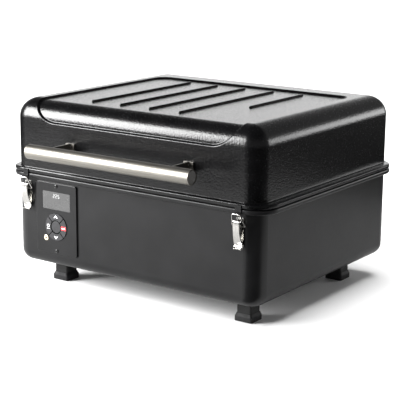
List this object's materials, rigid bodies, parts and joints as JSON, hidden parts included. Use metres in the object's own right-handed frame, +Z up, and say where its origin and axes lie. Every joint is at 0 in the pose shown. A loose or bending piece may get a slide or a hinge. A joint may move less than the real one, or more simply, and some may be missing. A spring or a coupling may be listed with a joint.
{
  "type": "pellet smoker grill",
  "caption": "Table-top wood-pellet smoker grill: black steel tub and hinged lid with a steel bar handle, draw latches, a control panel, pellet hopper, auger, fan and fire pot.",
  "frame": {"origin": "on the ground under the middle of the bounding box", "axes": "+X to the right seen from the front, -Y out of the front where the handle is, +Z up"},
  "size_m": [0.5334, 0.508, 0.3302],
  "materials": {
    "lid_coat": "fine orange-peel semi-gloss powder coat",
    "tub_coat": "satin powder coat",
    "leg_coat": "satin powder coat",
    "foot_rubber": "matt moulded rubber",
    "handle_steel": "brushed lengthwise",
    "latch_steel": "bright stamped steel",
    "cap_plastic": "moulded",
    "zinc_steel": "zinc-plated sheet",
    "black_screw": "black oxide",
    "screen_glass": "dark gloss",
    "button_rubber": "satin silicone",
    "jack_brass": "plated",
    "board_green": "solder mask",
    "black_plastic": "moulded",
    "motor_steel": "plain",
    "auger_steel": "raw steel",
    "burnt_steel": "heat-stained",
    "grate_enamel": "porcelain enamel",
    "probe_steel": "polished"
  },
  "bodies": {
    "base": {"lower_shell": "tub_coat", "leg_front_left": "leg_coat", "leg_front_right": "leg_coat", "leg_rear_left": "leg_coat", "leg_rear_right": "leg_coat", "foot_front_left": "foot_rubber", "foot_front_right": "foot_rubber", "foot_rear_left": "foot_rubber", "foot_rear_right": "foot_rubber", "leg_bolts": "zinc_steel", "hinge_body_leaf_left": "tub_coat", "hinge_body_leaf_right": "tub_coat", "hinge_pins": "zinc_steel", "latch_base_left": "latch_steel", "latch_base_right": "latch_steel", "latch_pins": "latch_steel", "latch_rivets": "latch_steel", "control_panel": "tub_coat", "screen_lens": "screen_glass", "panel_screws": "black_screw", "probe_jack": "jack_brass", "controller_board": "board_green", "power_inlet": "black_plastic", "bay_partition": "zinc_steel", "hopper_lid_pins": "zinc_steel", "hopper_bin": "zinc_steel", "hopper_guard": "zinc_steel", "auger_tube": "zinc_steel", "auger_motor": "motor_steel", "fan_housing": "black_plastic", "fan_motor": "motor_steel", "fire_pot": "burnt_steel", "igniter_rod": "probe_steel", "heat_baffle": "burnt_steel", "grate_ledges": "zinc_steel", "temperature_probe": "probe_steel"},
    "lid": {"lid_shell": "lid_coat", "handle_bar": "handle_steel", "handle_end_caps": "cap_plastic", "handle_bracket_left": "handle_steel", "handle_bracket_right": "handle_steel", "handle_screws": "zinc_steel", "hinge_lid_leaf_left": "tub_coat", "hinge_lid_leaf_right": "tub_coat", "lid_keeper_left": "lid_coat", "lid_keeper_right": "lid_coat"},
    "latch_lever_left": {"latch_lever_left": "latch_steel"},
    "latch_bail_left": {"latch_bail_left": "latch_steel"},
    "latch_lever_right": {"latch_lever_right": "latch_steel"},
    "latch_bail_right": {"latch_bail_right": "latch_steel"},
    "hopper_cover": {"hopper_lid": "zinc_steel"},
    "auger_screw": {"auger": "auger_steel"},
    "fan_rotor": {"fan_wheel": "black_plastic"},
    "grate": {"cooking_grate": "grate_enamel"},
    "tray": {"drip_tray": "burnt_steel"},
    "button_up": {"button_up": "button_rubber"},
    "button_down": {"button_down": "button_rubber"},
    "button_left": {"button_left": "button_rubber"},
    "button_right": {"button_right": "button_rubber"},
    "button_middle": {"button_middle": "button_rubber"}
  },
  "joints": [
    {"name": "lid_hinge", "type": "hinge", "parent": "base", "child": "lid", "pos_m": [0, 0.2507, 0.2023], "axis": [-1, 0, 0], "range_deg": [0, 95]},
    {"name": "latch_lever_left_swing", "type": "hinge", "parent": "base", "child": "latch_lever_left", "pos_m": [-0.2195, -0.1954, 0.181], "axis": [-1, 0, 0], "range_deg": [0, 120]},
    {"name": "latch_lever_right_swing", "type": "hinge", "parent": "base", "child": "latch_lever_right", "pos_m": [0.2195, -0.1954, 0.181], "axis": [-1, 0, 0], "range_deg": [0, 120]},
    {"name": "latch_bail_left_swing", "type": "hinge", "parent": "latch_lever_left", "child": "latch_bail_left", "pos_m": [-0.2195, -0.1918, 0.175], "axis": [1, 0, 0], "range_deg": [0, 120]},
    {"name": "latch_bail_right_swing", "type": "hinge", "parent": "latch_lever_right", "child": "latch_bail_right", "pos_m": [0.2195, -0.1918, 0.175], "axis": [1, 0, 0], "range_deg": [0, 120]},
    {"name": "hopper_lid_hinge", "type": "hinge", "parent": "base", "child": "hopper_cover", "pos_m": [-0.112, 0.085, 0.2001], "axis": [0, 1, 0], "range_deg": [0, 88]},
    {"name": "auger_turn", "type": "hinge", "parent": "base", "child": "auger_screw", "pos_m": [-0.086, 0.0293, 0.078], "axis": [1, 0, 0], "continuous": true},
    {"name": "fan_turn", "type": "hinge", "parent": "base", "child": "fan_rotor", "pos_m": [-0.178, 0.108, 0.06], "axis": [0, 0, 1], "continuous": true},
    {"name": "grate_lift", "type": "slide", "parent": "base", "child": "grate", "axis": [0, 0, 1], "range_m": [0, 0.07]},
    {"name": "tray_lift", "type": "slide", "parent": "base", "child": "tray", "axis": [0, 0, 1], "range_m": [0, 0.015]},
    {"name": "button_up_press", "type": "slide", "parent": "base", "child": "button_up", "axis": [0, 1, 0], "range_m": [0, 0.001], "stiffness_N_per_m": 500},
    {"name": "button_down_press", "type": "slide", "parent": "base", "child": "button_down", "axis": [0, 1, 0], "range_m": [0, 0.001], "stiffness_N_per_m": 500},
    {"name": "button_left_press", "type": "slide", "parent": "base", "child": "button_left", "axis": [0, 1, 0], "range_m": [0, 0.001], "stiffness_N_per_m": 500},
    {"name": "button_right_press", "type": "slide", "parent": "base", "child": "button_right", "axis": [0, 1, 0], "range_m": [0, 0.001], "stiffness_N_per_m": 500},
    {"name": "button_middle_press", "type": "slide", "parent": "base", "child": "button_middle", "axis": [0, 1, 0], "range_m": [0, 0.001], "stiffness_N_per_m": 500}
  ],
  "couplings": [
    {"joint": "latch_bail_left_swing", "follows": "latch_lever_left_swing", "ratio": 1},
    {"joint": "latch_bail_right_swing", "follows": "latch_lever_right_swing", "ratio": 1}
  ]
}
